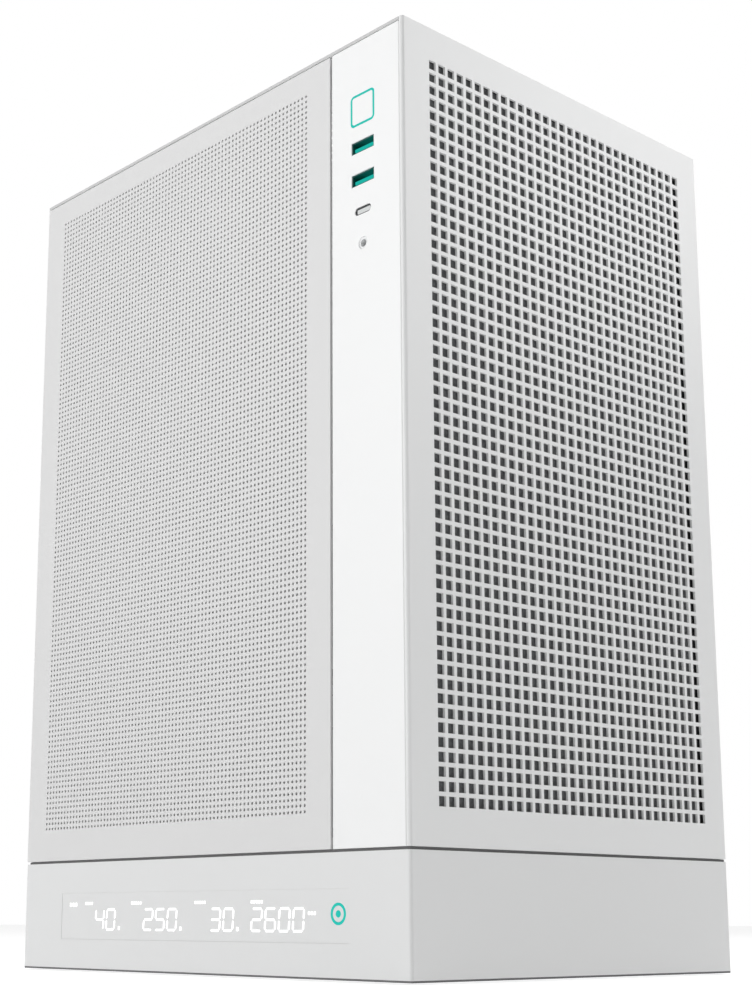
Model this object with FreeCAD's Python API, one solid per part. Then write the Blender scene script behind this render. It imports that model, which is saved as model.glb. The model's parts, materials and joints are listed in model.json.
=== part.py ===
"""Small desktop computer tower: base with a display strip, port column, vented panels, full interior."""
import FreeCAD, Part
import os

# Overall sizes, in millimetres. X runs rear to front, Y from the display side to the board side, Z up.
LENGTH = 281.0
DEPTH = 218.0
HEIGHT = 418.5
FOOT_PROUD = 1.5
BASE_HEIGHT = 51.5
SHADOW_GAP = 1.3
PORT_COLUMN = 46.5

# Sheet, wall and seam sizes.
PANEL_T = 2.0
SHEET_T = 1.2
TOP_T = 1.4
BASE_WALL = 2.5
BASE_FLOOR = 3.0
CORNER_R = 1.5
SEAM = 0.3
TOP_SEAM = 0.6
COLUMN_SEAM = 1.2
CLEAR = 0.1
LENS_CLEAR = 0.03
LENS_INSET = 0.15
RUN_CLEAR = 0.05
UPPER_INSET = 0.8

# Standard parts.
FAN = 120.0
FAN_DEPTH = 25.0
BOARD = 170.0
BOARD_T = 1.6
STANDOFF = 4.5
PSU_LONG = 140.0
PSU_WIDE = 150.0
PSU_TALL = 86.0
CARD_LONG = 225.0
CARD_TALL = 38.0
CARD_WIDE = 108.0
SLOT_PITCH = 20.32
COOLER_TALL = 155.0
SPINDLE_R = 2.0

# Places tied to the sizes above.
FRONT = LENGTH / 2
REAR = -LENGTH / 2
LEFT = -DEPTH / 2
RIGHT = DEPTH / 2
BASE_TOP = FOOT_PROUD + BASE_HEIGHT
PANEL_Z = BASE_TOP + SHADOW_GAP
DECK_TOP = BASE_TOP + 2.3
TOP_Z = HEIGHT - TOP_T
PANEL_TOP = TOP_Z - TOP_SEAM
FRONT_IN = FRONT - PANEL_T
PLATE_X = FRONT_IN - 2.5
REAR_OUT = REAR + UPPER_INSET
REAR_IN = REAR_OUT + SHEET_T
LEFT_IN = LEFT + PANEL_T
RIGHT_IN = RIGHT - PANEL_T
COLUMN_X = FRONT - PORT_COLUMN
TRAY_Y = RIGHT - 31.0
BOARD_Y = TRAY_Y - STANDOFF - BOARD_T
BOARD_X = REAR_IN + 2.0
BOARD_Z = DECK_TOP + 51.0
CARD_Z = BOARD_Z + 8.0
CPU_X = BOARD_X + 86.0
CPU_Z = BOARD_Z + 100.0
PSU_Z = TOP_Z - 7.0 - PSU_TALL
PSU_Y = -2.0
REAR_FAN_Y = LEFT + 74.0
REAR_FAN_Z = CPU_Z
FRONT_FAN_Y = (LEFT + TRAY_Y) / 2 + 21.0

BUTTON_X = FRONT - 25.5
BUTTON_Z = FOOT_PROUD + 381.8 * (HEIGHT - FOOT_PROUD) / 417.0
BUTTON_SIDE = 15.2
RING_W = 1.0
USB_A_W = 14.4
USB_A_H = 5.8
USB_C_W = 10.2
USB_C_H = 3.7
JACK_R = 2.85
LENS_X0 = REAR + 34.0
LENS_X1 = FRONT - 36.0
LENS_Z0 = FOOT_PROUD + 14.0
LENS_Z1 = FOOT_PROUD + 36.5


def box(x0, x1, y0, y1, z0, z1):
    return Part.makeBox(x1 - x0, y1 - y0, z1 - z0, FreeCAD.Vector(x0, y0, z0))


def rod(radius, start, axis, length):
    return Part.makeCylinder(radius, length, FreeCAD.Vector(*start), FreeCAD.Vector(*axis))


def join(shapes):
    return shapes[0].fuse(shapes[1:]).removeSplitter()


def carve(shape, tools):
    return shape.cut(tools) if tools else shape


def save(name, shape):
    shape.exportStep("parts/" + name + ".step")


def edges_along(shape, axis, places):
    """Straight edges parallel to the axis whose two other coordinates are in the list of places."""
    others = [i for i in range(3) if i != axis]
    found = []
    for edge in shape.Edges:
        a = edge.Vertexes[0].Point
        b = edge.Vertexes[-1].Point
        if abs(a[axis] - b[axis]) < edge.Length - 1e-4:
            continue
        for place in places:
            if all(abs(a[i] - v) < 1e-3 for i, v in zip(others, place)):
                found.append(edge)
    return found


def rounded_plate(width, height, radius, depth):
    """Rounded rectangle standing in XZ, centred on the origin, running from y=0 to y=depth."""
    plate = box(-width / 2, width / 2, 0, depth, -height / 2, height / 2)
    corners = [(sx * width / 2, sz * height / 2) for sx in (-1, 1) for sz in (-1, 1)]
    return plate.makeFillet(radius, edges_along(plate, 1, corners))


def at(shape, x, y, z):
    moved = shape.copy()
    moved.translate(FreeCAD.Vector(x, y, z))
    return moved


def turned(shape, axis, angle, place):
    moved = shape.copy()
    moved.rotate(FreeCAD.Vector(0, 0, 0), FreeCAD.Vector(*axis), angle)
    moved.translate(FreeCAD.Vector(*place))
    return moved


def feet_places():
    inset = 26.0
    return [(sx * (FRONT - inset), sy * (RIGHT - inset)) for sx in (-1, 1) for sy in (-1, 1)]


def make_base():
    """Open tray with a top rim, a display window and four pad recesses."""
    body = box(REAR, FRONT, LEFT, RIGHT, FOOT_PROUD, BASE_TOP)
    corners = [(x, y) for x in (REAR, FRONT) for y in (LEFT, RIGHT)]
    body = body.makeFillet(CORNER_R, edges_along(body, 2, corners))
    cavity = box(REAR + BASE_WALL, FRONT - BASE_WALL, LEFT + BASE_WALL, RIGHT - BASE_WALL,
                 FOOT_PROUD + BASE_FLOOR, BASE_TOP - 2.0)
    rim = 12.0
    mouth = box(REAR + rim, FRONT - rim, LEFT + rim, RIGHT - rim, BASE_TOP - 3.0, BASE_TOP + 1.0)
    window = box(LENS_X0, LENS_X1, LEFT - 1.0, LEFT + BASE_WALL + 1.0, LENS_Z0, LENS_Z1)
    pads = [rod(9.0 + CLEAR, (x, y, FOOT_PROUD - 1.0), (0, 0, 1), 2.5) for x, y in feet_places()]
    save("base_skirt", carve(body, [cavity, mouth, window] + pads))
    for index, (x, y) in enumerate(feet_places()):
        save("foot_%d" % (index + 1), rod(9.0, (x, y, 0), (0, 0, 1), FOOT_PROUD + 1.5))


def make_display():
    """Diffuser that fills the window from behind, and the circuit board it is glued to."""
    back = LEFT + BASE_WALL
    plug = box(LENS_X0 + LENS_CLEAR, LENS_X1 - LENS_CLEAR, LEFT + LENS_INSET, back,
               LENS_Z0 + LENS_CLEAR, LENS_Z1 - LENS_CLEAR)
    lip = box(LENS_X0 - 3.0, LENS_X1 + 3.0, back, back + 1.0, LENS_Z0 - 3.0, LENS_Z1 + 3.0)
    save("display_lens", join([plug, lip]))
    board = box(LENS_X0 - 2.0, LENS_X1 + 2.0, back + 1.0, back + 2.6, LENS_Z0 - 2.0, LENS_Z1 + 2.0)
    chips = [box(x, x + 9.0, back + 2.6, back + 4.2, LENS_Z0 + 6.0, LENS_Z0 + 15.0)
             for x in (LENS_X0 + 40.0, 0.0, LENS_X1 - 60.0)]
    save("display_board", join([board] + chips))


def make_frame():
    """Deck, four posts and the rails the side panels and the top cover rest on."""
    edge = 2.2
    deck = box(REAR_IN, PLATE_X, LEFT + edge, RIGHT - edge, BASE_TOP, DECK_TOP)
    pieces = [deck]
    for y0, y1 in ((LEFT_IN, LEFT_IN + 8.0), (RIGHT_IN - 8.0, RIGHT_IN)):
        pieces.append(box(REAR_IN, PLATE_X, y0, y1, DECK_TOP, DECK_TOP + 4.0))
        pieces.append(box(REAR_IN, PLATE_X, y0, y1, TOP_Z - 5.0, TOP_Z))
        pieces.append(box(REAR_IN, REAR_IN + 8.0, y0, y1, DECK_TOP, TOP_Z))
    pieces.append(box(PLATE_X - 8.0, PLATE_X, RIGHT_IN - 8.0, RIGHT_IN, DECK_TOP, TOP_Z))
    column_post = COLUMN_X + 3.0
    pieces.append(box(column_post, column_post + 8.0, LEFT_IN + 3.0, LEFT_IN + 9.0, DECK_TOP, TOP_Z))
    save("chassis_frame", join(pieces))


def make_tray():
    tray = box(REAR_IN, PLATE_X, TRAY_Y, TRAY_Y + SHEET_T, DECK_TOP, TOP_Z)
    windows = [box(CPU_X - 45.0, CPU_X + 45.0, TRAY_Y - 1, TRAY_Y + 3, CPU_Z - 40.0, CPU_Z + 40.0),
               box(BOARD_X + BOARD + 14.0, BOARD_X + BOARD + 40.0, TRAY_Y - 1, TRAY_Y + 3,
                   BOARD_Z + 20.0, BOARD_Z + 120.0)]
    save("board_tray", carve(tray, windows))
    standoffs = [rod(3.0, (x, TRAY_Y - STANDOFF, z), (0, 1, 0), STANDOFF)
                 for x in (BOARD_X + 6.0, BOARD_X + BOARD - 6.0)
                 for z in (BOARD_Z + 14.0, BOARD_Z + BOARD - 6.0)]
    save("standoffs", Part.makeCompound(standoffs))


def io_window():
    """Low and high (y, z) of the rear opening for the board's connectors."""
    y1 = BOARD_Y + BOARD_T + 1.2
    z0 = BOARD_Z + 15.5
    return y1 - 44.45, y1, z0, z0 + 158.75


def slot_window():
    z1 = CARD_Z + 4.0
    return BOARD_Y - 107.0, BOARD_Y - 9.0, z1 - 2 * SLOT_PITCH, z1


def psu_screw_places():
    return [(PSU_Y - 69.0, PSU_Z + 6.0), (PSU_Y + 69.0, PSU_Z + 6.0),
            (PSU_Y - 69.0, PSU_Z + 80.0), (PSU_Y + 69.0, PSU_Z + 74.0)]


def fan_screw_places():
    half = 52.5
    return [(REAR_FAN_Y + a, REAR_FAN_Z + b) for a in (-half, half) for b in (-half, half)]


def make_rear():
    """Rear sheet with connector, fan, card and supply openings, and the screws through it."""
    panel = box(REAR_OUT, REAR_IN, LEFT_IN + SEAM, RIGHT_IN - SEAM, BASE_TOP, TOP_Z)
    y0, y1, z0, z1 = io_window()
    s0, s1, t0, t1 = slot_window()
    x0 = REAR_OUT - 1.0
    x1 = REAR_IN + 1.0
    tools = [box(x0, x1, y0, y1, z0, z1), box(x0, x1, s0, s1, t0, t1),
             box(x0, x1, PSU_Y - 60.0, PSU_Y + 60.0, PSU_Z + 11.0, PSU_Z + PSU_TALL - 11.0),
             rod(FAN / 2 - 3.0, (x0, REAR_FAN_Y, REAR_FAN_Z), (1, 0, 0), 4.0)]
    tools += [box(x0, x1, TRAY_Y + 8.0, RIGHT_IN - 10.0, z, z + 4.0)
              for z in (BOARD_Z + 10.0 + 12.0 * i for i in range(14))]
    screws = psu_screw_places() + fan_screw_places()
    tools += [rod(1.7, (x0, y, z), (1, 0, 0), 4.0) for y, z in screws]
    save("rear_panel", carve(panel, tools))
    for name, places in (("psu_screws", psu_screw_places()), ("fan_screws", fan_screw_places())):
        save(name, Part.makeCompound([join([rod(3.2, (REAR, y, z), (1, 0, 0), UPPER_INSET),
                                            rod(1.6, (REAR, y, z), (1, 0, 0), REAR_IN - REAR)])
                                      for y, z in places]))


def make_panels():
    """Outer skins: front mesh sheet with catches, two side sheets and the top cover."""
    front = box(FRONT_IN, FRONT, LEFT, RIGHT, PANEL_Z, HEIGHT)
    front = front.makeFillet(CORNER_R, edges_along(front, 2, [(FRONT, LEFT), (FRONT, RIGHT)]))
    catches = [box(PLATE_X, FRONT_IN, y - 4.0, y + 4.0, z - 4.0, z + 4.0)
               for y in (LEFT + 9.0, RIGHT - 9.0) for z in (PANEL_Z + 20.0, TOP_Z - 20.0)]
    save("front_panel", join([front] + catches))
    x1 = COLUMN_X - COLUMN_SEAM / 2
    for name, y0, y1, outer, end in (("left_panel", LEFT, LEFT_IN, LEFT, x1),
                                     ("right_panel", RIGHT_IN, RIGHT, RIGHT, FRONT_IN - SEAM)):
        sheet = box(REAR_OUT, end, y0, y1, PANEL_Z, PANEL_TOP)
        sheet = sheet.makeFillet(0.6, edges_along(sheet, 2, [(REAR_OUT, outer), (end, outer)]))
        save(name, sheet)
    cover = box(REAR_OUT, FRONT_IN - SEAM, LEFT, RIGHT, TOP_Z, HEIGHT)
    cover = cover.makeFillet(0.5, edges_along(cover, 0, [(LEFT, HEIGHT), (RIGHT, HEIGHT)]))
    save("top_cover", cover)


def make_filter():
    """Framed dust filter that clips to the back of the front panel."""
    y0 = LEFT + 14.0
    y1 = RIGHT - 14.0
    z0 = PANEL_Z + 10.0
    z1 = TOP_Z - 10.0
    x0 = FRONT_IN - 2.0
    rail = 4.0
    opening = box(x0 - 1, FRONT_IN + 1, y0 + rail, y1 - rail, z0 + rail, z1 - rail)
    web = box(FRONT_IN - 0.8, FRONT_IN - 0.3, y0 + rail, y1 - rail, z0 + rail, z1 - rail)
    save("filter_frame", carve(box(x0, FRONT_IN, y0, y1, z0, z1), [opening]))
    save("filter_web", web)


def port_places():
    """Centre height of every socket opening in the port column."""
    return {"usb_a_1": BUTTON_Z - 17.9, "usb_a_2": BUTTON_Z - 33.5,
            "usb_c": BUTTON_Z - 48.8, "jack": BUTTON_Z - 64.4}


def make_column():
    """Port column with its button ring, button, sockets and small circuit board."""
    x0 = COLUMN_X + COLUMN_SEAM / 2
    x1 = FRONT_IN - SEAM
    plate = box(x0, x1, LEFT, LEFT_IN, PANEL_Z, PANEL_TOP)
    plate = plate.makeFillet(0.6, edges_along(plate, 2, [(x0, LEFT), (x1, LEFT)]))
    flange = box(x0, COLUMN_X + 3.0, LEFT_IN, LEFT_IN + 9.0, PANEL_Z + 6.0, PANEL_TOP - 6.0)
    places = port_places()
    ring_side = BUTTON_SIDE + 2 * CLEAR
    tools = [at(rounded_plate(ring_side, ring_side, 2.2, 6.0), BUTTON_X, LEFT - 2.0, BUTTON_Z)]
    for key in ("usb_a_1", "usb_a_2"):
        tools.append(box(BUTTON_X - USB_A_W / 2, BUTTON_X + USB_A_W / 2, LEFT - 1, LEFT_IN + 1,
                         places[key] - USB_A_H / 2, places[key] + USB_A_H / 2))
    tools.append(at(rounded_plate(USB_C_W, USB_C_H, USB_C_H / 2 - 0.05, 6.0), BUTTON_X, LEFT - 2.0,
                    places["usb_c"]))
    tools.append(rod(JACK_R, (BUTTON_X, LEFT - 2.0, places["jack"]), (0, 1, 0), 6.0))
    save("port_column", carve(join([plate, flange]), tools))
    make_button()
    make_sockets(places)


def make_button():
    inner = BUTTON_SIDE - 2 * RING_W
    ring = at(rounded_plate(BUTTON_SIDE, BUTTON_SIDE, 2.1, PANEL_T + 3.0), BUTTON_X, LEFT, BUTTON_Z)
    lip = at(rounded_plate(BUTTON_SIDE + 5.0, BUTTON_SIDE + 5.0, 2.5, 1.0), BUTTON_X, LEFT_IN, BUTTON_Z)
    bore = at(rounded_plate(inner, inner, 1.2, 12.0), BUTTON_X, LEFT - 2.0, BUTTON_Z)
    save("button_ring", carve(join([ring, lip]), [bore]))
    cap_side = inner - 2 * CLEAR
    cap = at(rounded_plate(cap_side, cap_side, 1.1, PANEL_T + 3.0), BUTTON_X, LEFT, BUTTON_Z)
    stem = box(BUTTON_X - 2, BUTTON_X + 2, LEFT_IN + 3.0, LEFT_IN + 5.5, BUTTON_Z - 2, BUTTON_Z + 2)
    save("power_button", join([cap, stem]))


def make_sockets(places):
    """Socket shells and tongues; all of them sit on one board behind the column."""
    board_y = LEFT_IN + 12.0
    wall = 0.5
    for key in ("usb_a_1", "usb_a_2"):
        z = places[key]
        w = USB_A_W / 2 - 0.1
        h = USB_A_H / 2 - 0.1
        shell = box(BUTTON_X - w, BUTTON_X + w, LEFT + 0.4, board_y, z - h, z + h)
        room = box(BUTTON_X - w + wall, BUTTON_X + w - wall, LEFT - 1, board_y - 1.0,
                   z - h + wall, z + h - wall)
        save(key + "_shell", carve(shell, [room]))
        tongue = box(BUTTON_X - w + 1.4, BUTTON_X + w - 1.4, LEFT + 0.9, board_y - 1.0,
                     z - h + wall + 0.7, z - h + wall + 2.1)
        foot = box(BUTTON_X - w + wall, BUTTON_X + w - wall, board_y - 2.5, board_y - 1.0,
                   z - h + wall, z + h - wall)
        save(key + "_tongue", join([tongue, foot]))
    z = places["usb_c"]
    shell = at(rounded_plate(USB_C_W - 0.2, USB_C_H - 0.2, USB_C_H / 2 - 0.15, 11.6),
               BUTTON_X, LEFT + 0.4, z)
    room = at(rounded_plate(USB_C_W - 1.2, USB_C_H - 1.2, USB_C_H / 2 - 0.65, 9.6), BUTTON_X, LEFT - 1.0, z)
    foot = box(BUTTON_X - 3, BUTTON_X + 3, LEFT + 10.0, board_y, z - 1.2, z + 1.2)
    save("usb_c_shell", carve(join([shell, foot]), [room]))
    save("usb_c_tongue", box(BUTTON_X - 3.9, BUTTON_X + 3.9, LEFT + 0.5, LEFT + 8.6, z - 0.85, z + 0.85))
    z = places["jack"]
    jack = rod(JACK_R - 0.1, (BUTTON_X, LEFT + 0.3, z), (0, 1, 0), PANEL_T - 0.3)
    block = box(BUTTON_X - 4, BUTTON_X + 4, LEFT_IN, board_y, z - 4, z + 4)
    barrel = join([jack, block])
    save("audio_jack", carve(barrel, [rod(1.78, (BUTTON_X, LEFT - 1, z), (0, 1, 0), 12.0)]))
    board = box(BUTTON_X - 11, BUTTON_X + 11, board_y, board_y + BOARD_T, places["jack"] - 8, BUTTON_Z + 12)
    switch = box(BUTTON_X - 3, BUTTON_X + 3, LEFT_IN + 7.3, board_y, BUTTON_Z - 3, BUTTON_Z + 3)
    back = board_y + BOARD_T
    arm = box(COLUMN_X + 3.5, BUTTON_X - 3, back, back + SHEET_T, places["jack"], BUTTON_Z - 4)
    leg = box(COLUMN_X + 3.5, COLUMN_X + 9.0, LEFT_IN + 9.0, back, places["jack"], BUTTON_Z - 4)
    save("port_board", join([board, switch]))
    save("port_bracket", join([arm, leg]))


def make_front_plate():
    """Plate behind the filter that carries both intake fans."""
    plate = box(PLATE_X - SHEET_T, PLATE_X, LEFT_IN + 8.0, TRAY_Y, DECK_TOP + 4.0, TOP_Z - 5.0)
    holes = [rod(FAN / 2 - 3.0, (PLATE_X - 3, FRONT_FAN_Y, z), (1, 0, 0), 6.0) for z in front_fan_heights()]
    holes.append(box(PLATE_X - 3, PLATE_X + 3, LEFT_IN + 30.0, TRAY_Y - 30.0,
                     front_fan_heights()[1] + FAN / 2 + 12.0, TOP_Z - 25.0))
    save("fan_plate", carve(plate, holes))


def front_fan_heights():
    first = DECK_TOP + 4.0 + FAN / 2
    return (first, first + FAN + 1.5)


def fan_frame(size, depth, hub):
    """Square fan frame on its +Z axis, from z=0 to z=depth, with its motor disc and spindle."""
    half = size / 2
    ring = box(-half, half, -half, half, 0, depth).cut(rod(half - 3.0, (0, 0, -1), (0, 0, 1), depth + 2))
    disc = rod(hub, (0, 0, 0), (0, 0, 1), 3.0)
    arms = [box(-half + 1.0, half - 1.0, -1.6, 1.6, 0, 2.4), box(-1.6, 1.6, -half + 1.0, half - 1.0, 0, 2.4)]
    spindle = rod(SPINDLE_R, (0, 0, 1.0), (0, 0, 1), depth - 6.0)
    return join([ring, disc, spindle] + arms)


def fan_rotor(reach, depth, hub, count):
    """Hub with flat pitched blades that turns on the spindle of fan_frame."""
    low = 3.4
    high = depth - 1.5
    body = rod(hub, (0, 0, low), (0, 0, 1), high - low)
    width = high - low - 3.0
    blade = box(hub - 2.0, reach, -width / 2, width / 2, -0.7, 0.7)
    blade.rotate(FreeCAD.Vector(0, 0, 0), FreeCAD.Vector(1, 0, 0), 42.0)
    blade.translate(FreeCAD.Vector(0, 0, (low + high) / 2))
    blades = []
    for index in range(count):
        one = blade.copy()
        one.rotate(FreeCAD.Vector(0, 0, 0), FreeCAD.Vector(0, 0, 1), 360.0 * index / count)
        blades.append(one)
    bore = rod(SPINDLE_R + RUN_CLEAR, (0, 0, low - 1.0), (0, 0, 1), depth - 5.0 - low + 1.2)
    return carve(join([body] + blades), [bore])


def make_fans():
    """Two intake fans, the exhaust fan and the cooler fan, all blowing towards the rear."""
    frame = fan_frame(FAN, FAN_DEPTH, 20.0)
    rotor = fan_rotor(FAN / 2 - 4.5, FAN_DEPTH, 20.0, 7)
    places = [("front_fan_1", PLATE_X - SHEET_T, FRONT_FAN_Y, front_fan_heights()[0]),
              ("front_fan_2", PLATE_X - SHEET_T, FRONT_FAN_Y, front_fan_heights()[1]),
              ("cooler_fan", CPU_X + 25.0 + FAN_DEPTH, REAR_FAN_Y + 22.0, CPU_Z)]
    for name, x, y, z in places:
        save(name + "_frame", turned(frame, (0, 1, 0), -90, (x, y, z)))
        save(name + "_rotor", turned(rotor, (0, 1, 0), -90, (x, y, z)))
    place = (REAR_IN, REAR_FAN_Y, REAR_FAN_Z)
    save("rear_fan_frame", turned(frame, (0, 1, 0), 90, place))
    save("rear_fan_rotor", turned(rotor, (0, 1, 0), 90, place))


def make_board():
    """Main board with its sockets and heat sinks, memory, and the rear connector stack."""
    board = box(BOARD_X, BOARD_X + BOARD, BOARD_Y, BOARD_Y + BOARD_T, BOARD_Z, BOARD_Z + BOARD)
    save("main_board", board)
    sockets = []
    slot_z = CARD_Z + BOARD_T / 2
    slot = box(BOARD_X + 48.0, BOARD_X + 137.0, BOARD_Y - 11.0, BOARD_Y, slot_z - 3.7, slot_z + 3.7)
    groove = box(BOARD_X + 49.5, BOARD_X + 135.5, BOARD_Y - 12.0, BOARD_Y - 3.0, slot_z - 1.0, slot_z + 1.0)
    sockets.append(slot.cut(groove))
    for index in range(2):
        x = BOARD_X + 147.0 + 9.4 * index
        z0 = BOARD_Z + 24.0
        rail = box(x - 3.2, x + 3.2, BOARD_Y - 6.0, BOARD_Y, z0, z0 + 140.0)
        sockets.append(rail.cut(box(x - 0.9, x + 0.9, BOARD_Y - 7.0, BOARD_Y - 2.5, z0 + 2.0, z0 + 138.0)))
        stick = box(x - 0.65, x + 0.65, BOARD_Y - 34.0, BOARD_Y - 2.5, z0 + 3.0, z0 + 137.0)
        save("memory_%d" % (index + 1), stick)
    sockets.append(box(CPU_X - 20.0, CPU_X + 20.0, BOARD_Y - 5.0, BOARD_Y, CPU_Z - 20.0, CPU_Z + 20.0))
    sockets.append(box(BOARD_X + BOARD - 50.0, BOARD_X + BOARD - 38.0, BOARD_Y - 12.0, BOARD_Y,
                       BOARD_Z + 120.0, BOARD_Z + 160.0))
    save("board_sockets", Part.makeCompound(sockets))
    sinks = [box(CPU_X - 50.0, CPU_X - 38.0, BOARD_Y - 24.0, BOARD_Y, CPU_Z - 30.0, CPU_Z + 38.0),
             box(BOARD_X + 40.0, BOARD_X + 66.0, BOARD_Y - 8.0, BOARD_Y, BOARD_Z + 20.0, BOARD_Z + 46.0)]
    save("board_sinks", Part.makeCompound(sinks))
    make_rear_ports()


def make_rear_ports():
    y0, y1, z0, z1 = io_window()
    shield = box(REAR_OUT + 0.1, REAR_IN, y0 + CLEAR, y1 - CLEAR, z0 + CLEAR, z1 - CLEAR)
    lip = box(REAR_IN, REAR_IN + 1.0, y0 - 1.5, BOARD_Y - 0.3, z0 - 1.5, z1 + 1.5)
    heights = [z0 + 10.0 + 38.0 * i for i in range(4)]
    mouths = [box(REAR_OUT - 1, REAR_IN + 2, BOARD_Y - 31.0, BOARD_Y - 2.0, z + 1.0, z + 27.0)
              for z in heights]
    save("port_shield", carve(join([shield, lip]), mouths))
    stack = []
    for z in heights:
        block = box(REAR_IN + 1.0, REAR_IN + 20.0, BOARD_Y - 33.0, BOARD_Y, z - 1.0, z + 28.5)
        room = box(REAR_IN, REAR_IN + 16.0, BOARD_Y - 30.0, BOARD_Y - 3.5, z + 2.0, z + 26.0)
        stack.append(block.cut(room))
    save("rear_ports", Part.makeCompound(stack))


def make_cooler():
    """Fin stack on square heat pipes with a cold plate on the processor socket."""
    far = BOARD_Y - COOLER_TALL
    centre_y = REAR_FAN_Y + 22.0
    fins = []
    count = 19
    near = min(BOARD_Y - 34.0, centre_y + FAN / 2)
    for index in range(count):
        y = far + 3.0 + (near - far - 3.0) * index / (count - 1)
        fins.append(box(CPU_X - 25.0, CPU_X + 25.0, y - 0.4, y + 0.4, CPU_Z - 58.0, CPU_Z + 58.0))
    pipes = [box(CPU_X + a - 3.0, CPU_X + a + 3.0, far, BOARD_Y - 15.0, CPU_Z + b - 3.0, CPU_Z + b + 3.0)
             for a in (-12.0, 12.0) for b in (-26.0, -9.0, 9.0, 26.0)]
    plate = box(CPU_X - 19.0, CPU_X + 19.0, BOARD_Y - 18.0, BOARD_Y - 5.0, CPU_Z - 30.0, CPU_Z + 30.0)
    save("cooler_sink", join(fins + pipes + [plate]))


def make_card():
    """Two-slot graphics card hanging under its circuit board, with two fans facing down."""
    x0 = REAR_IN + 1.2
    x1 = x0 + CARD_LONG
    y1 = BOARD_Y - 13.0
    y0 = y1 - CARD_WIDE
    edge = box(BOARD_X + 50.5, BOARD_X + 134.5, y1, BOARD_Y - 3.2, CARD_Z, CARD_Z + BOARD_T)
    save("card_board", join([box(x0 + 1.0, x1 - 4, y0 + 2, y1, CARD_Z, CARD_Z + BOARD_T), edge]))
    low = CARD_Z - CARD_TALL
    hub = 14.0
    reach = 44.0
    depth = 15.0
    middle = (y0 + y1) / 2
    shroud = box(x0 + 1.0, x1, y0, y1, low, CARD_Z)
    spots = [x0 + CARD_LONG * 0.29, x0 + CARD_LONG * 0.75]
    pockets = [rod(reach, (x, middle, low - 1.0), (0, 0, 1), depth + 2.0) for x in spots]
    spindles = [rod(SPINDLE_R, (x, middle, low + 7.5), (0, 0, 1), depth) for x in spots]
    save("card_shroud", join([carve(shroud, pockets)] + spindles))
    rotor = fan_rotor(reach - 1.5, depth, hub, 9)
    for index, x in enumerate(spots):
        save("card_rotor_%d" % (index + 1), turned(rotor, (1, 0, 0), 180, (x, middle, low + depth + 2.0)))
    s0, s1, t0, t1 = slot_window()
    bracket = box(REAR_IN, x0 + 1.0, s0 - 2.0, s1 + 2.0, t0 - 1.0, t1 + 1.0)
    vents = [box(REAR_IN - 1, x0 + 2, s0 + 6 + 12 * i, s0 + 14 + 12 * i, t0 + 4, t0 + 16) for i in range(7)]
    vents += [box(REAR_IN - 1, x0 + 2, s0 + 6 + 22 * i, s0 + 22 + 22 * i, t1 - 14, t1 - 6) for i in range(4)]
    save("card_bracket", carve(bracket, vents))


def make_supply():
    """Power supply with a top fan, an inlet and a rocker switch, on its own shelf."""
    x0 = REAR_IN
    x1 = x0 + PSU_LONG
    y0 = PSU_Y - PSU_WIDE / 2
    y1 = PSU_Y + PSU_WIDE / 2
    z1 = PSU_Z + PSU_TALL
    shelf = box(REAR_IN, x1 + 8.0, y0 + 4.0, TRAY_Y, PSU_Z - SHEET_T, PSU_Z)
    save("psu_shelf", carve(shelf, [box(x0 + 20, x1 - 12, y0 + 20, y1 - 12, PSU_Z - 3, PSU_Z + 2)]))
    fan_x = (x0 + x1) / 2 + 2.0
    case = box(x0, x1, y0, y1, PSU_Z, z1)
    room = box(x0 + SHEET_T, x1 - SHEET_T, y0 + SHEET_T, y1 - SHEET_T, PSU_Z + SHEET_T, z1 - SHEET_T)
    mouth = rod(58.0, (fan_x, PSU_Y, z1 - 3), (0, 0, 1), 6.0)
    inlet = box(x0 - 1, x0 + 3, PSU_Y + 18.0, PSU_Y + 46.0, PSU_Z + 30.0, PSU_Z + 50.0)
    switch = box(x0 - 1, x0 + 3, PSU_Y + 21.0, PSU_Y + 43.0, PSU_Z + 56.0, PSU_Z + 70.0)
    vents = [box(x0 - 1, x0 + 3, PSU_Y - 54.0 + 9.0 * i, PSU_Y - 49.0 + 9.0 * i, PSU_Z + 16.0, PSU_Z + 70.0)
             for i in range(7)]
    case = carve(case, [room, mouth, inlet, switch] + vents)
    bars = [box(fan_x - 60.0, fan_x + 60.0, PSU_Y - 1.5, PSU_Y + 1.5, z1 - SHEET_T, z1),
            box(fan_x - 1.5, fan_x + 1.5, PSU_Y - 60.0, PSU_Y + 60.0, z1 - SHEET_T, z1)]
    disc = rod(18.0, (fan_x, PSU_Y, z1 - 3.0), (0, 0, 1), 3.0)
    spindle = rod(SPINDLE_R, (fan_x, PSU_Y, z1 - 14.5), (0, 0, 1), 13.0)
    save("psu_case", join([case, disc, spindle] + bars))
    rotor = fan_rotor(55.0, 20.0, 18.0, 9)
    save("psu_rotor", turned(rotor, (1, 0, 0), 180, (fan_x, PSU_Y, z1)))
    make_inlet(x0)


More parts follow.
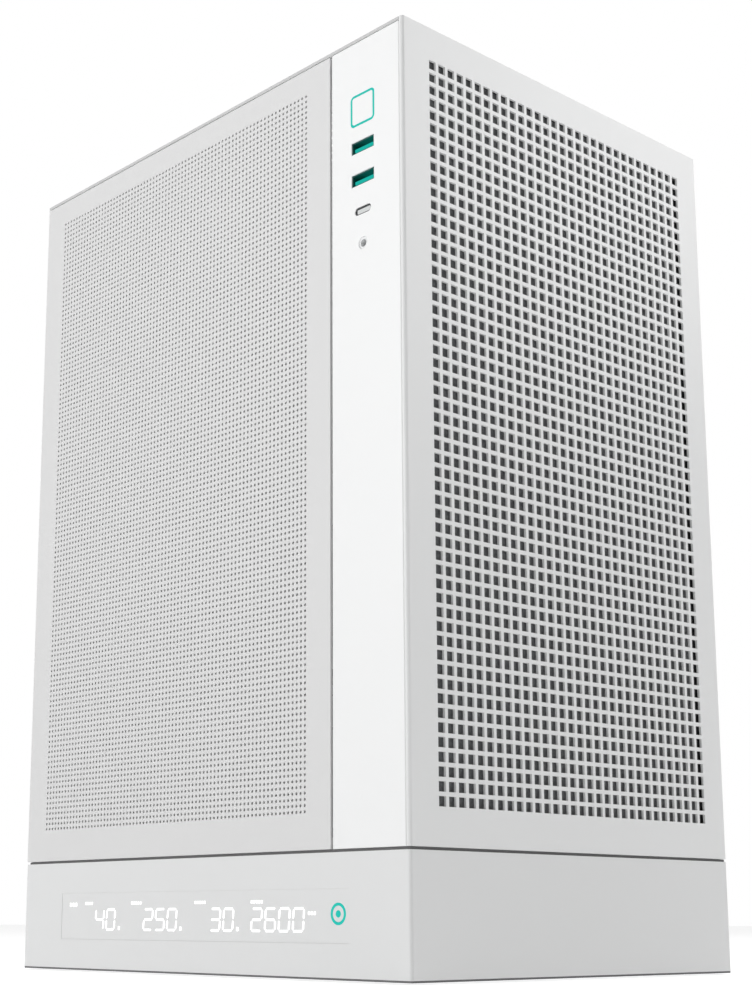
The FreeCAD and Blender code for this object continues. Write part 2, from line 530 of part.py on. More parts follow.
def make_inlet(x0):
    """Mains inlet with three pins, and the rocker in its bezel."""
    yc = PSU_Y + 32.0
    z = PSU_Z + 40.0
    shell = box(REAR_OUT, x0 + 22.0, yc - 13.8, yc + 13.8, z - 9.8, z + 9.8)
    shell = shell.cut(box(REAR_OUT - 1, x0 + 18.0, yc - 12.0, yc + 12.0, z - 8.0, z + 8.0))
    pins = [box(REAR_OUT + 6.0, x0 + 19.0, yc + a - 1.0, yc + a + 1.0, z + b - 2.0, z + b + 2.0)
            for a, b in ((-7.0, -2.0), (0.0, 2.0), (7.0, -2.0))]
    save("psu_inlet", join([shell] + pins))
    z = PSU_Z + 63.0
    bezel = box(REAR_OUT, x0 + 14.0, yc - 10.8, yc + 10.8, z - 6.8, z + 6.8)
    bezel = bezel.cut(box(REAR_OUT - 1, x0 + 12.0, yc - 9.6, yc + 9.6, z - 5.6, z + 5.6))
    axle = rod(1.0, (x0 + 5.0, yc, z - 5.7), (0, 0, 1), 11.4)
    save("switch_bezel", join([bezel, axle]))
    near = x0 + 1.2
    outline = [(near, yc - 8.4), (near + 1.0, yc), (near, yc + 8.4),
               (near + 6.0, yc + 5.4), (near + 6.0, yc - 5.4)]
    points = [FreeCAD.Vector(x, y, z - 5.3) for x, y in outline + outline[:1]]
    rocker = Part.Face(Part.makePolygon(points)).extrude(FreeCAD.Vector(0, 0, 10.6))
    save("switch_rocker", rocker.cut(rod(1.0 + RUN_CLEAR, (x0 + 5.0, yc, z - 7), (0, 0, 1), 14)))


def make_drive():
    x0 = BOARD_X + 100.0
    z0 = BOARD_Z + 60.0
    save("solid_drive", box(x0, x0 + 100.0, TRAY_Y + SHEET_T, TRAY_Y + SHEET_T + 7.0, z0, z0 + 70.0))


os.makedirs("parts", exist_ok=True)
make_base()
make_display()
make_frame()
make_tray()
make_rear()
make_panels()
make_filter()
make_column()
make_front_plate()
make_fans()
make_board()
make_cooler()
make_card()
make_supply()
make_drive()
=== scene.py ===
"""The tower's looks: painted sheets with punched vents, status strip, sockets, fans and inner parts."""

import json
import math

import bmesh
import bpy
from mathutils import Matrix, Vector


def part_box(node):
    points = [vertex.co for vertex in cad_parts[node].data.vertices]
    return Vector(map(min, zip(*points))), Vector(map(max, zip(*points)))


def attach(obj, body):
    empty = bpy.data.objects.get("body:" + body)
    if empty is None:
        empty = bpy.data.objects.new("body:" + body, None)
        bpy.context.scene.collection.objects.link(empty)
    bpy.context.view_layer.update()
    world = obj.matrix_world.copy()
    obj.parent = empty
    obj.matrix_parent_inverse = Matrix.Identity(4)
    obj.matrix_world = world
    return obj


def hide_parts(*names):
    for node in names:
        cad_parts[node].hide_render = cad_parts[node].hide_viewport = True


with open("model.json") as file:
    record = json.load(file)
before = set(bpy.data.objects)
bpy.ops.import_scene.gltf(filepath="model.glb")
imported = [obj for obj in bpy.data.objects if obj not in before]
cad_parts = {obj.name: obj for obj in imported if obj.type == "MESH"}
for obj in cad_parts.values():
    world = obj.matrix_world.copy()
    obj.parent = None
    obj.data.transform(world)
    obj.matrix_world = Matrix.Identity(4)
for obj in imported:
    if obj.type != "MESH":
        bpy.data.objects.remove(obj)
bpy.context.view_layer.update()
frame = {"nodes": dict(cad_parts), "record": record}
MM = 0.001


# ---- Studio: a long-lens view from low in front of the ports, a white floor and soft panels of light.
# The camera stands level with the feet, so the tower rises against a white ground.
camera_data = bpy.data.cameras.new("camera")
camera_data.lens = 60.673
camera_data.sensor_width = 36.0
camera_data.shift_x = 0.0699
camera_data.shift_y = 0.0808
camera_data.clip_start = 0.01
camera = bpy.data.objects.new("camera", camera_data)
bpy.context.scene.collection.objects.link(camera)
bpy.context.scene.camera = camera
camera_place = (0.62081, -0.59553, 0.0253)
camera_heading = math.radians(48.147)
camera_pitch = math.radians(101.362)
camera_roll = math.radians(0.11)
camera.matrix_world = (Matrix.Translation(camera_place) @ Matrix.Rotation(camera_heading, 4, "Z")
                       @ Matrix.Rotation(camera_pitch, 4, "X") @ Matrix.Rotation(camera_roll, 4, "Z"))


def glowing(name, colour, strength):
    """A surface that only gives off light."""
    made = bpy.data.materials.new(name)
    made.use_nodes = True
    nodes = made.node_tree.nodes
    nodes.clear()
    glow = nodes.new("ShaderNodeEmission")
    glow.inputs["Color"].default_value = colour + (1.0,)
    glow.inputs["Strength"].default_value = strength
    out = nodes.new("ShaderNodeOutputMaterial")
    made.node_tree.links.new(glow.outputs["Emission"], out.inputs["Surface"])
    return made


def finish_material(name, colour, roughness, metallic=0.0, grain=0.0, grain_scale=900.0, mottle=0.0):
    """Principled surface; grain is the bump height of a fine noise, mottle a slight shift of its colour."""
    made = bpy.data.materials.new(name)
    made.use_nodes = True
    tree = made.node_tree
    surface = tree.nodes["Principled BSDF"]
    surface.inputs["Base Color"].default_value = colour + (1.0,)
    surface.inputs["Roughness"].default_value = roughness
    surface.inputs["Metallic"].default_value = metallic
    if grain or mottle:
        place = tree.nodes.new("ShaderNodeTexCoord")
        noise = tree.nodes.new("ShaderNodeTexNoise")
        noise.inputs["Scale"].default_value = grain_scale
        noise.inputs["Detail"].default_value = 3.0
        tree.links.new(place.outputs["Object"], noise.inputs["Vector"])
    if grain:
        bump = tree.nodes.new("ShaderNodeBump")
        bump.inputs["Strength"].default_value = grain
        bump.inputs["Distance"].default_value = 0.0002
        tree.links.new(noise.outputs["Fac"], bump.inputs["Height"])
        tree.links.new(bump.outputs["Normal"], surface.inputs["Normal"])
    if mottle:
        mix = tree.nodes.new("ShaderNodeMix")
        mix.data_type = "RGBA"
        mix.inputs["A"].default_value = tuple(c * (1.0 - mottle) for c in colour) + (1.0,)
        mix.inputs["B"].default_value = tuple(min(1.0, c * (1.0 + mottle)) for c in colour) + (1.0,)
        tree.links.new(noise.outputs["Fac"], mix.inputs["Factor"])
        tree.links.new(mix.outputs["Result"], surface.inputs["Base Color"])
    return made


def new_object(name, mesh, material):
    made = bpy.data.objects.new(name, mesh)
    bpy.context.scene.collection.objects.link(made)
    mesh.materials.clear()
    mesh.materials.append(material)
    return made


def plane_mesh(name, width, depth):
    mesh = bpy.data.meshes.new(name)
    corners = [(-width / 2, -depth / 2, 0), (width / 2, -depth / 2, 0),
               (width / 2, depth / 2, 0), (-width / 2, depth / 2, 0)]
    mesh.from_pydata(corners, [], [(0, 1, 2, 3)])
    return mesh


floor_paint = finish_material("floor_white", (0.97, 0.97, 0.97), 0.8)
floor_surface = floor_paint.node_tree.nodes["Principled BSDF"]
floor_surface.inputs["Emission Color"].default_value = (1.0, 1.0, 1.0, 1.0)
floor_surface.inputs["Emission Strength"].default_value = 0.43
floor_side = 12.0
floor = new_object("floor", plane_mesh("floor", floor_side, floor_side), floor_paint)


def area_light(name, place, target, width, height, power):
    data = bpy.data.lights.new(name, "AREA")
    data.shape = "RECTANGLE"
    data.size = width
    data.size_y = height
    data.energy = power
    light = bpy.data.objects.new(name, data)
    bpy.context.scene.collection.objects.link(light)
    light.location = place
    light.rotation_euler = (Vector(target) - Vector(place)).to_track_quat("-Z", "Y").to_euler()
    return light


# Name, place, target, width, height and power of each panel of light.
area_light("display_side_panel", (-0.8, -2.0, 0.9), (0.0, -0.1, 0.2), 1.2, 1.2, 16.0)
area_light("front_side_panel", (0.95, 1.15, 1.2), (0.1, 0.1, 0.35), 0.8, 0.8, 9.4)
area_light("near_panel", (0.4, -0.85, 0.85), (0.05, -0.1, 0.3), 0.3, 0.3, 1.0)


def studio_world():
    """White behind the tower as seen by the camera, dimmer on the camera's own side."""
    made = bpy.data.worlds.new("studio")
    made.use_nodes = True
    tree = made.node_tree
    ground = tree.nodes["Background"]
    ground.inputs["Color"].default_value = (1.0, 1.0, 1.0, 1.0)
    place = tree.nodes.new("ShaderNodeTexCoord")
    aim = tree.nodes.new("ShaderNodeVectorMath")
    aim.operation = "DOT_PRODUCT"
    away_from_camera = (-0.745, 0.667, 0.0)
    aim.inputs[1].default_value = away_from_camera
    tree.links.new(place.outputs["Generated"], aim.inputs[0])
    level = tree.nodes.new("ShaderNodeMapRange")
    level.interpolation_type = "SMOOTHSTEP"
    level.inputs["From Min"].default_value = -0.2
    level.inputs["From Max"].default_value = 0.7
    level.inputs["To Min"].default_value = 0.16
    level.inputs["To Max"].default_value = 1.0
    tree.links.new(aim.outputs["Value"], level.inputs["Value"])
    tree.links.new(level.outputs["Result"], ground.inputs["Strength"])
    return made


bpy.context.scene.world = studio_world()
bpy.context.scene.view_settings.view_transform = "Standard"


# ---- Punched covers: thin steel sheets, punched in a regular grid, folded at the edges and powder coated.
# The display and board sides have fine round holes, the front and the top have larger square ones.
white_paint = finish_material("white_powder_coat", (0.80, 0.805, 0.805), 0.42, grain=0.12,
                              grain_scale=2600.0)
# The side covers carry a darker copy of the white coat: painted shade for the dimmer light on the sides.
shaded_side_paint = finish_material("shaded_side_powder_coat", (0.72, 0.72, 0.72), 0.42, grain=0.12,
                             grain_scale=2600.0)
SHEET_T = 1.2 * MM


def math_node(tree, operation, *values):
    """A math node whose inputs are numbers or the outputs of other nodes."""
    node = tree.nodes.new("ShaderNodeMath")
    node.operation = operation
    for socket, value in zip(node.inputs, values):
        if isinstance(value, (int, float)):
            socket.default_value = value
        else:
            tree.links.new(value, socket)
    return node.outputs[0]


def split_place(tree):
    """X and Y of the points that a geometry node works on."""
    place = tree.nodes.new("GeometryNodeInputPosition")
    parts = tree.nodes.new("ShaderNodeSeparateXYZ")
    tree.links.new(place.outputs[0], parts.inputs[0])
    return parts.outputs[0], parts.outputs[1]


def reach_of(tree, x, y):
    """The larger distance from the middle, along either axis."""
    return math_node(tree, "MAXIMUM", math_node(tree, "ABSOLUTE", x), math_node(tree, "ABSOLUTE", y))


def past(tree, value, limit):
    return math_node(tree, "GREATER_THAN", math_node(tree, "ABSOLUTE", value), limit)


def joined_place(tree, x, y):
    whole = tree.nodes.new("ShaderNodeCombineXYZ")
    tree.links.new(x, whole.inputs[0])
    tree.links.new(y, whole.inputs[1])
    return whole.outputs[0]


def moved_points(tree, geometry, selection, place):
    node = tree.nodes.new("GeometryNodeSetPosition")
    tree.links.new(geometry, node.inputs["Geometry"])
    tree.links.new(place, node.inputs["Position"])
    if selection is not None:
        tree.links.new(selection, node.inputs["Selection"])
    return node.outputs["Geometry"]


def folded_out(tree, geometry, selection=None):
    """Extrudes edges by nothing, so that their new copies can be moved outwards."""
    node = tree.nodes.new("GeometryNodeExtrudeMesh")
    node.mode = "EDGES"
    node.inputs["Offset Scale"].default_value = 0.0
    tree.links.new(geometry, node.inputs["Mesh"])
    if selection is not None:
        tree.links.new(selection, node.inputs["Selection"])
    return node.outputs["Mesh"], node.outputs["Top"]


def punched_tree():
    """Flat sheet around the origin: one eight-sided hole to a cell, and a plain margin on each side."""
    tree = bpy.data.node_groups.new("punched_sheet", "GeometryNodeTree")
    face = tree.interface
    for name, kind in (("Columns", "NodeSocketInt"), ("Rows", "NodeSocketInt"),
                       ("Pitch U", "NodeSocketFloat"), ("Pitch V", "NodeSocketFloat"),
                       ("Half hole", "NodeSocketFloat"),
                       ("Square", "NodeSocketFloat"), ("Margin low U", "NodeSocketFloat"),
                       ("Margin high U", "NodeSocketFloat"), ("Margin low V", "NodeSocketFloat"),
                       ("Margin high V", "NodeSocketFloat"), ("Material", "NodeSocketMaterial")):
        face.new_socket(name, in_out="INPUT", socket_type=kind)
    face.new_socket("Geometry", in_out="OUTPUT", socket_type="NodeSocketGeometry")
    given = tree.nodes.new("NodeGroupInput").outputs
    half_u = math_node(tree, "MULTIPLY", given["Pitch U"], 0.5)
    half_v = math_node(tree, "MULTIPLY", given["Pitch V"], 0.5)

    ring = tree.nodes.new("GeometryNodeMeshCircle")
    ring.inputs["Vertices"].default_value = 8
    ring.inputs["Radius"].default_value = 1.0
    x, y = split_place(tree)
    reach = reach_of(tree, x, y)
    stretch = math_node(tree, "POWER", reach, math_node(tree, "MULTIPLY", given["Square"], -1.0))
    size = math_node(tree, "MULTIPLY", stretch, given["Half hole"])
    hole = moved_points(tree, ring.outputs["Mesh"], None,
                        joined_place(tree, math_node(tree, "MULTIPLY", x, size),
                                     math_node(tree, "MULTIPLY", y, size)))
    cell, rim = folded_out(tree, hole)
    x, y = split_place(tree)
    reach = reach_of(tree, x, y)
    cell = moved_points(tree, cell, rim, joined_place(
        tree, math_node(tree, "MULTIPLY", math_node(tree, "DIVIDE", x, reach), half_u),
        math_node(tree, "MULTIPLY", math_node(tree, "DIVIDE", y, reach), half_v)))

    grid = tree.nodes.new("GeometryNodeMeshGrid")
    tree.links.new(given["Columns"], grid.inputs["Vertices X"])
    tree.links.new(given["Rows"], grid.inputs["Vertices Y"])
    wide = math_node(tree, "MULTIPLY", given["Columns"], given["Pitch U"])
    tall = math_node(tree, "MULTIPLY", given["Rows"], given["Pitch V"])
    tree.links.new(math_node(tree, "SUBTRACT", wide, given["Pitch U"]), grid.inputs["Size X"])
    tree.links.new(math_node(tree, "SUBTRACT", tall, given["Pitch V"]), grid.inputs["Size Y"])
    spread = tree.nodes.new("GeometryNodeInstanceOnPoints")
    tree.links.new(grid.outputs["Mesh"], spread.inputs["Points"])
    tree.links.new(cell, spread.inputs["Instance"])
    real = tree.nodes.new("GeometryNodeRealizeInstances")
    tree.links.new(spread.outputs["Instances"], real.inputs["Geometry"])
    weld = tree.nodes.new("GeometryNodeMergeByDistance")
    weld.inputs["Distance"].default_value = 0.02 * MM
    tree.links.new(real.outputs["Geometry"], weld.inputs["Geometry"])

    x, y = split_place(tree)
    edge_u = math_node(tree, "MULTIPLY", wide, 0.5)
    edge_v = math_node(tree, "MULTIPLY", tall, 0.5)
    slack = 0.05 * MM
    over_u = past(tree, x, math_node(tree, "SUBTRACT", edge_u, slack))
    over_v = past(tree, y, math_node(tree, "SUBTRACT", edge_v, slack))
    sheet, rim = folded_out(tree, weld.outputs["Geometry"], math_node(tree, "MAXIMUM", over_u, over_v))
    right = math_node(tree, "GREATER_THAN", x, 0.0)
    high = math_node(tree, "GREATER_THAN", y, 0.0)
    left_of = math_node(tree, "SUBTRACT", 1.0, right)
    below = math_node(tree, "SUBTRACT", 1.0, high)
    shift_u = math_node(tree, "SUBTRACT", math_node(tree, "MULTIPLY", right, given["Margin high U"]),
                        math_node(tree, "MULTIPLY", left_of, given["Margin low U"]))
    shift_v = math_node(tree, "SUBTRACT", math_node(tree, "MULTIPLY", high, given["Margin high V"]),
                        math_node(tree, "MULTIPLY", below, given["Margin low V"]))
    sheet = moved_points(tree, sheet, rim, joined_place(
        tree, math_node(tree, "ADD", x, math_node(tree, "MULTIPLY", over_u, shift_u)),
        math_node(tree, "ADD", y, math_node(tree, "MULTIPLY", over_v, shift_v))))
    painted = tree.nodes.new("GeometryNodeSetMaterial")
    tree.links.new(sheet, painted.inputs["Geometry"])
    tree.links.new(given["Material"], painted.inputs["Material"])
    out = tree.nodes.new("NodeGroupOutput")
    tree.links.new(painted.outputs["Geometry"], out.inputs["Geometry"])
    return tree


punched = punched_tree()


def punched_sheet(name, columns, rows, pitch, half_hole, square, margins, thickness, place, material):
    """A punched sheet of one thickness; place turns its own U, V and outward W into the object's axes."""
    source = bpy.data.objects.new(name + "_source", bpy.data.meshes.new(name + "_source"))
    bpy.context.scene.collection.objects.link(source)
    nodes = source.modifiers.new("punch", "NODES")
    nodes.node_group = punched
    values = dict(zip(("Margin low U", "Margin high U", "Margin low V", "Margin high V"), margins))
    values.update({"Columns": columns, "Rows": rows, "Pitch U": pitch[0], "Pitch V": pitch[1],
                   "Half hole": half_hole, "Square": square, "Material": material})
    for item in punched.interface.items_tree:
        if item.in_out == "INPUT":
            nodes[item.identifier] = values[item.name]
    flat = bpy.data.meshes.new_from_object(source.evaluated_get(bpy.context.evaluated_depsgraph_get()))
    bpy.data.objects.remove(source)
    work = bmesh.new()
    work.from_mesh(flat)
    bmesh.ops.dissolve_degenerate(work, dist=1e-7, edges=work.edges)
    bmesh.ops.recalc_face_normals(work, faces=work.faces)
    if sum(f.normal.z for f in work.faces) < 0:
        bmesh.ops.reverse_faces(work, faces=work.faces)
    work.to_mesh(flat)
    work.free()
    sheet = new_object(name, flat, material)
    solid = sheet.modifiers.new("thickness", "SOLIDIFY")
    solid.thickness = thickness
    solid.offset = -1.0
    solid.use_even_offset = False
    mesh = bpy.data.meshes.new_from_object(sheet.evaluated_get(bpy.context.evaluated_depsgraph_get()))
    sheet.modifiers.clear()
    sheet.data = mesh
    mesh.transform(place)
    mesh.shade_flat()
    mesh.materials.clear()
    mesh.materials.append(material)
    return sheet


def placed(u, v, w, origin):
    """Matrix whose columns are the sheet's own axes and whose last column is its origin."""
    turn = Matrix((u, v, w)).transposed().to_4x4()
    return Matrix.Translation(Vector(origin)) @ turn


def field_margins(low, high, centre, span):
    """Plain width left on each side of a punched field."""
    return centre - span / 2 - low, high - centre - span / 2


ROUND = 0.0
SQUARE = 1.0
X_AXIS = Vector((1, 0, 0))
Y_AXIS = Vector((0, 1, 0))
Z_AXIS = Vector((0, 0, 1))


def side_cover(node, body, u, w, face, field_centre):
    """Three bands of fine round holes make one cover, so that each stays a light piece."""
    columns = 75
    rows = 42
    bands = 3
    pitch = (2.70 * MM, 2.661 * MM)
    half_hole = 0.72 * MM
    low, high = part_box(node)
    ends = sorted((low.x * u.x, high.x * u.x))
    middle_u = field_centre[0] * u.x
    mu = field_margins(ends[0], ends[1], middle_u, columns * pitch[0])
    band = rows * pitch[1]
    mv = field_margins(low.z, high.z, field_centre[1], bands * band)
    for index in range(bands):
        centre = field_centre[1] + (index - 1) * band
        below = mv[0] if index == 0 else 0.0
        above = mv[1] if index == bands - 1 else 0.0
        origin = (field_centre[0], face, centre)
        piece = punched_sheet("%s_band_%d" % (node, index + 1), columns, rows, pitch, half_hole, ROUND,
                              mu + (below, above), SHEET_T, placed(u, Z_AXIS, w, origin), shaded_side_paint)
        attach(piece, body)
        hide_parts(node)


FIELD_Z = 237.0 * MM
side_cover("left_panel", "left_cover", X_AXIS, -Y_AXIS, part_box("left_panel")[0].y, (-22.9 * MM, FIELD_Z))
side_cover("right_panel", "right_cover", -X_AXIS, Y_AXIS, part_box("right_panel")[1].y, (0.0, FIELD_Z))

front_low, front_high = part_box("front_panel")
ROLL_R = 1.5 * MM


def front_sheet():
    """Square-holed front sheet between its two rolled vertical edges."""
    pitch = (6.008 * MM, 6.069 * MM)
    columns = 31
    rows = 55
    half_hole = 2.15 * MM
    centre = (0.26 * MM, 236.8 * MM)
    mu = field_margins(front_low.y + ROLL_R, front_high.y - ROLL_R, centre[0], columns * pitch[0])
    mv = field_margins(front_low.z, front_high.z, centre[1], rows * pitch[1])
    place = placed(Y_AXIS, Z_AXIS, X_AXIS, (front_high.x, centre[0], centre[1]))
    return punched_sheet("front_mesh", columns, rows, pitch, half_hole, SQUARE, mu + mv, SHEET_T,
                         place, white_paint)


def prism(name, outline, foot, head, material, smooth_angle=None):
    """Closed upright prism of an outline between two heights."""
    mesh = bpy.data.meshes.new(name)
    count = len(outline)
    points = [(x, y, z) for z in (foot, head) for x, y in outline]
    faces = [tuple(range(count)), tuple(range(2 * count - 1, count - 1, -1))]
    faces += [(i, (i + 1) % count, count + (i + 1) % count, count + i) for i in range(count)]
    mesh.from_pydata(points, [], faces)
    work = bmesh.new()
    work.from_mesh(mesh)
    bmesh.ops.recalc_face_normals(work, faces=work.faces)
    work.to_mesh(mesh)
    work.free()
    piece = new_object(name, mesh, material)
    if smooth_angle:
        mesh.shade_smooth()
        mesh.set_sharp_from_angle(angle=smooth_angle)
    return piece


def rolled_edge(name, corner_y, inward):
    """One folded vertical edge of the front cover: a quarter round and a short return."""
    inner = ROLL_R - SHEET_T
    centre_x = front_high.x - ROLL_R
    back = front_high.x - 2.0 * MM
    turns = 8
    sharp_from = 0.6
    angles = [math.pi / 2 * step / turns for step in range(turns + 1)]
    outline = [(centre_x + ROLL_R * math.cos(a), corner_y + inward * ROLL_R * (1 - math.sin(a)))
               for a in angles]
    outline += [(back, corner_y), (back, corner_y + inward * SHEET_T)]
    outline += [(centre_x + inner * math.cos(a), corner_y + inward * (ROLL_R - inner * math.sin(a)))
                for a in reversed(angles)]
    return prism(name, outline, front_low.z, front_high.z, white_paint, sharp_from)


def catch_blocks():
    """Moulded catches that grip the fan plate behind the front cover."""
    mesh = bpy.data.meshes.new("front_catches")
    work = bmesh.new()
    side = 8.0 * MM
    depth = 3.3 * MM
    from_side = 9.0 * MM
    from_foot = 20.0 * MM
    from_head = 21.4 * MM
    scale = Matrix.Diagonal((depth, side, side, 1.0))
    for y in (front_low.y + from_side, front_high.y - from_side):
        for z in (front_low.z + from_foot, front_high.z - from_head):
            place = Matrix.Translation((front_low.x + depth / 2, y, z))
            bmesh.ops.create_cube(work, size=1.0, matrix=place @ scale)
    work.to_mesh(mesh)
    work.free()
    return new_object("front_catches", mesh, white_paint)


for piece in (front_sheet(), rolled_edge("front_edge_left", front_low.y, 1),
              rolled_edge("front_edge_right", front_high.y, -1), catch_blocks()):
    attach(piece, "front_cover")
    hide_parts("front_panel")


def top_sheet():
    """Top cover with the same square holes over the power supply and the fans."""
    low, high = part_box("top_cover")
    pitch = (6.0 * MM, 6.0 * MM)
    columns = 40
    rows = 30
    half_hole = 2.05 * MM
    centre_x = -1.0 * MM
    mu = field_margins(low.x, high.x, centre_x, columns * pitch[0])
    mv = field_margins(low.y, high.y, 0.0, rows * pitch[1])
    piece = punched_sheet("top_mesh", columns, rows, pitch, half_hole, SQUARE, mu + mv, high.z - low.z,
                          placed(X_AXIS, Y_AXIS, Z_AXIS, (centre_x, 0.0, high.z)), white_paint)
    # The upright faces of the top sheet are painted grey: painted shade along its top edge.
    piece.data.materials.append(finish_material("painted_shade_edge", (0.58, 0.585, 0.585), 0.5))
    for face in piece.data.polygons:
        if abs(face.normal.z) < 0.5:
            face.material_index = 1
    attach(piece, "top_lid")
    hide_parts("top_cover")


top_sheet()


# ---- Finishes of the parts that keep their shape from the frame: moulded, plated, turned and coated pieces.
# Each finish is named for the record's material slot that it belongs to.
finishes = {
    "white_plastic": finish_material("white_moulding", (0.80, 0.81, 0.815), 0.38, grain=0.05,
                                     grain_scale=1800.0),
    "white_steel": white_paint,
    "dark_steel": finish_material("dark_powder_coat", (0.10, 0.10, 0.105), 0.55, grain=0.15,
                                  grain_scale=1500.0),
    "rubber": finish_material("pad_rubber", (0.02, 0.02, 0.02), 0.85, grain=0.2),
    "display_white": finish_material("status_window", (0.765, 0.77, 0.77), 0.34),
    "board_green": finish_material("green_board", (0.02, 0.12, 0.07), 0.35, mottle=0.2, grain_scale=300.0),
    "board_black": finish_material("black_board", (0.012, 0.012, 0.014), 0.4, mottle=0.3, grain_scale=400.0),
    "brass": finish_material("turned_brass", (0.70, 0.52, 0.24), 0.3, metallic=1.0),
    "screw_steel": finish_material("zinc_plate", (0.55, 0.56, 0.58), 0.35, metallic=1.0),
    "socket_steel": finish_material("plated_steel", (0.60, 0.61, 0.63), 0.28, metallic=1.0),
    "black_plastic": finish_material("black_moulding", (0.018, 0.018, 0.02), 0.5, grain=0.1),
    "fan_plastic": finish_material("fan_moulding", (0.03, 0.03, 0.033), 0.42, grain=0.05),
    "filter_mesh": finish_material("woven_filter", (0.16, 0.165, 0.17), 0.8, grain=0.9,
                                   grain_scale=700.0, mottle=0.5),
    "teal_plastic": glowing("lit_teal", (0.03, 0.66, 0.56), 0.85),
    "fin_aluminium": finish_material("fin_aluminium", (0.75, 0.76, 0.77), 0.3, metallic=1.0),
    "card_plastic": finish_material("card_moulding", (0.70, 0.71, 0.72), 0.4, grain=0.05),
}
replaced = {"left_panel", "right_panel", "front_panel", "top_cover"}
# Pieces whose finish differs from the rest of their slot: brighter and greyer mouldings, socket shells
# darkened with painted shade, and socket tongues lit with a painted glow.
# The socket tongues glow: painted light, standing for the highlight on the teal USB-A tongues and the bright
# face of the USB-C tongue.
tongue_teal_painted_glow = glowing("tongue_teal_painted_glow", (0.02, 0.60, 0.50), 0.75)
# The dark shells are painted shade inside the sockets, tinted teal in the USB-A ones beside their teal
# tongues.
shaded_socket_dark = finish_material("shaded_socket_steel", (0.045, 0.047, 0.05), 0.3, metallic=0.8)
shaded_socket_teal = finish_material("shaded_teal_socket_steel", (0.003, 0.075, 0.066), 0.35, metallic=0.2)
bright_moulding = finish_material("bright_moulding", (0.90, 0.905, 0.905), 0.38, grain=0.05,
                                  grain_scale=1800.0)
base_moulding = finish_material("base_moulding", (0.765, 0.77, 0.77), 0.38, grain=0.05,
                                grain_scale=1800.0)
looks = {"port_column": bright_moulding, "power_button": bright_moulding, "base_skirt": base_moulding,
         "usb_a_1_shell": shaded_socket_teal, "usb_a_2_shell": shaded_socket_teal, "usb_c_shell": shaded_socket_dark,
         "usb_a_1_tongue": tongue_teal_painted_glow, "usb_a_2_tongue": tongue_teal_painted_glow,
         "usb_c_tongue": glowing("usb_c_tongue_painted_glow", (0.85, 0.87, 0.87), 0.8)}
slots = {entry["node"]: entry["material_slot"] for entry in frame["record"]["subparts"]}
for name, node in frame["nodes"].items():
    if name not in replaced:
        node.data.materials.clear()
        node.data.materials.append(looks.get(name, finishes[slots[name]]))


# ---- Base edge: a soft gray strip glued under the rim of the base, between the feet and the outer faces.
# Its gray is painted shade for the dark line at the foot of the base; it is mitred at the corners and closes
# the gap to the desk a little.
def edge_strip():
    """Square ring of painted shade whose outer faces stand just inside the faces of the base."""
    low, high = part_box("base_skirt")
    inset = 0.5 * MM
    width = 2.0 * MM
    drop = 0.9 * MM
    rings = []
    for z in (low.z - drop, low.z):
        for step in (inset, inset + width):
            rings.append([(low.x + step, low.y + step, z), (high.x - step, low.y + step, z),
                          (high.x - step, high.y - step, z), (low.x + step, high.y - step, z)])
    work = bmesh.new()
    outer_low, inner_low, outer_high, inner_high = [[work.verts.new(p) for p in ring] for ring in rings]
    for i in range(4):
        j = (i + 1) % 4
        for a, b in ((outer_low, inner_low), (inner_low, inner_high), (inner_high, outer_high),
                     (outer_high, outer_low)):
            work.faces.new((a[i], a[j], b[j], b[i]))
    bmesh.ops.recalc_face_normals(work, faces=work.faces)
    mesh = bpy.data.meshes.new("base_shade_strip")
    work.to_mesh(mesh)
    work.free()
    # The strip's gray is painted shade.
    return new_object("base_shade_strip", mesh, finish_material("painted_shade_gray", (0.16, 0.16, 0.165), 0.7))


def gap_strip():
    """Dark strip on the rim of the base, under the front and the two side covers: painted shade in the gap
    below the covers.
    """
    low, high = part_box("base_skirt")
    panel_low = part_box("front_panel")[0]
    inset = 1.0 * MM
    width = 1.0 * MM
    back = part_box("rear_panel")[1].x + 0.1 * MM
    front = high.x - inset
    near = low.y + inset
    far = high.y - inset
    outline = [(back, near), (front, near), (front, far), (back, far),
               (back, far - width), (front - width, far - width), (front - width, near + width),
               (back, near + width)]
    # The strip's dark gray is painted shade in the gap between the base and the covers.
    return prism("gap_strip", outline, high.z, panel_low.z - 0.2 * MM,
                 finish_material("painted_gap_shade", (0.17, 0.17, 0.172), 0.9))


for strip in (edge_strip(), gap_strip()):
    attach(strip, "case")


# ---- Status strip: lit segment figures and label blocks moulded on the face of the diffuser.
# Each figure is seven bars, leaning slightly, and glows white through the window.
figure_light = glowing("figure_light", (1.0, 1.0, 1.0), 1.6)
STRIP_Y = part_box("display_lens")[0].y
RAISED = 0.12 * MM
SEGMENTS = {"0": "abcdef", "2": "abged", "3": "abgcd", "4": "fgbc", "5": "afgcd", "6": "afgecd"}


def bar_outline(x0, z0, x1, z1, half):
    """Six-cornered bar from one end to the other."""
    if abs(x1 - x0) > abs(z1 - z0):
        return [(x0, z0), (x0 + half, z0 + half), (x1 - half, z1 + half), (x1, z1),
                (x1 - half, z1 - half), (x0 + half, z0 - half)]
    return [(x0, z0), (x0 + half, z0 + half), (x1 + half, z1 - half), (x1, z1),
            (x1 - half, z1 - half), (x0 - half, z0 + half)]


def figure_bars(character, x, z, width, height):
    """The lit bars of one character whose lower left corner is at x, z."""
    half = 0.46 * MM
    gap = 0.42 * MM
    x0, x1 = x + half, x + width - half
    z0, z1, z2 = z + half, z + height / 2, z + height - half
    ends = {"a": (x0 + gap, z2, x1 - gap, z2), "g": (x0 + gap, z1, x1 - gap, z1),
            "d": (x0 + gap, z0, x1 - gap, z0),
            "f": (x0, z1 + gap, x0, z2 - gap), "b": (x1, z1 + gap, x1, z2 - gap),
            "e": (x0, z0 + gap, x0, z1 - gap), "c": (x1, z0 + gap, x1, z1 - gap)}
    return [bar_outline(*ends[key], half) for key in SEGMENTS[character]]


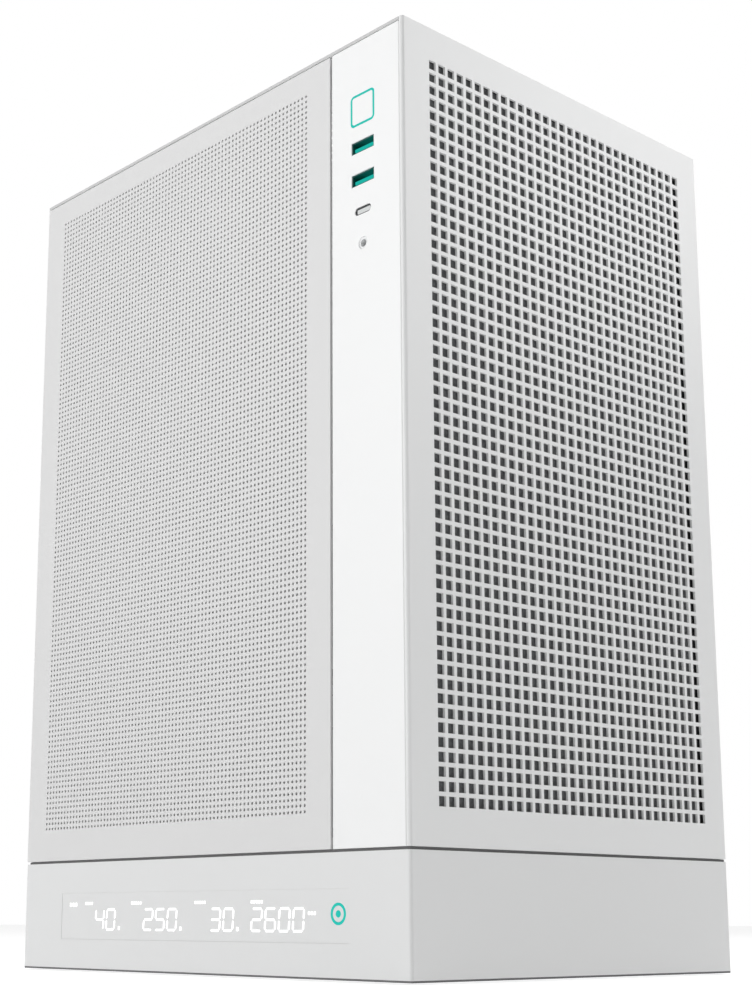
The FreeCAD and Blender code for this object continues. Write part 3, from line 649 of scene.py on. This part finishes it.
def slab_set(name, outlines, face_y, thickness, material):
    """Flat raised shapes on the display side, all in one piece."""
    work = bmesh.new()
    for outline in outlines:
        front = [work.verts.new((a, face_y - thickness, b)) for a, b in outline]
        back = [work.verts.new((a, face_y, b)) for a, b in outline]
        count = len(outline)
        work.faces.new(front)
        work.faces.new(list(reversed(back)))
        for i in range(count):
            j = (i + 1) % count
            work.faces.new((front[i], back[i], back[j], front[j]))
    bmesh.ops.recalc_face_normals(work, faces=work.faces)
    mesh = bpy.data.meshes.new(name)
    work.to_mesh(mesh)
    work.free()
    return new_object(name, mesh, material)


figure_places = (("40", -77.4 * MM), ("250", -37.8 * MM), ("30", 12.8 * MM), ("2600", 41.6 * MM))
figure_step = 9.2 * MM
figure_foot = 19.9 * MM
figure_width = 7.6 * MM
figure_height = 10.5 * MM
upright_z = 25.0 * MM
lean = 0.08
bars = []
for digits, start in figure_places:
    for index, character in enumerate(digits):
        bars += figure_bars(character, start + figure_step * index, figure_foot, figure_width, figure_height)
bars = [[(a + lean * (b - upright_z), b) for a, b in outline] for outline in bars]
figures = slab_set("status_figures", bars, STRIP_Y, RAISED, figure_light)
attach(figures, "case")

# Rows of plain blocks stand for small labels: left end, foot, count of blocks and size, in millimetres.
label_rows = ((-99.5, 31.4, 3, 3.6), (-86.0, 32.2, 4, 2.6), (-47.5, 32.2, 5, 2.6), (1.5, 32.2, 5, 2.6),
              (41.5, 32.2, 5, 2.6), (-58.0, 20.2, 1, 3.4), (-9.6, 20.2, 1, 3.4), (31.6, 20.2, 1, 3.4),
              (79.2, 27.2, 3, 2.8))
block_step = 0.66
block_width = 0.4
block_height = 0.5
blocks = []
for left, foot, count, size in label_rows:
    for index in range(count):
        x0 = (left + block_step * size * index) * MM
        x1 = x0 + block_width * size * MM
        z0 = foot * MM
        z1 = z0 + block_height * size * MM
        blocks.append([(x0, z0), (x1, z0), (x1, z1), (x0, z1)])
labels = slab_set("status_labels", blocks, STRIP_Y, 0.1 * MM, figure_light)
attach(labels, "case")

# A plain closed ring around a dot ends the strip.
ring_x = 98.0 * MM
ring_z = 27.6 * MM
ring_r = 4.6 * MM
ring_w = 1.2 * MM
dot_r = 1.5 * MM
steps = 40
turns = [2 * math.pi * step / steps for step in range(steps + 1)]
hole_r = ring_r - ring_w
ring = [[(ring_x + r * math.cos(a), ring_z + r * math.sin(a))
         for r, a in ((ring_r, a0), (ring_r, a1), (hole_r, a1), (hole_r, a0))]
        for a0, a1 in zip(turns, turns[1:])]
ring.append([(ring_x + dot_r * math.cos(a), ring_z + dot_r * math.sin(a)) for a in turns[:-1]])
mark = slab_set("status_mark", ring, STRIP_Y, RAISED, finishes["teal_plastic"])
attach(mark, "case")
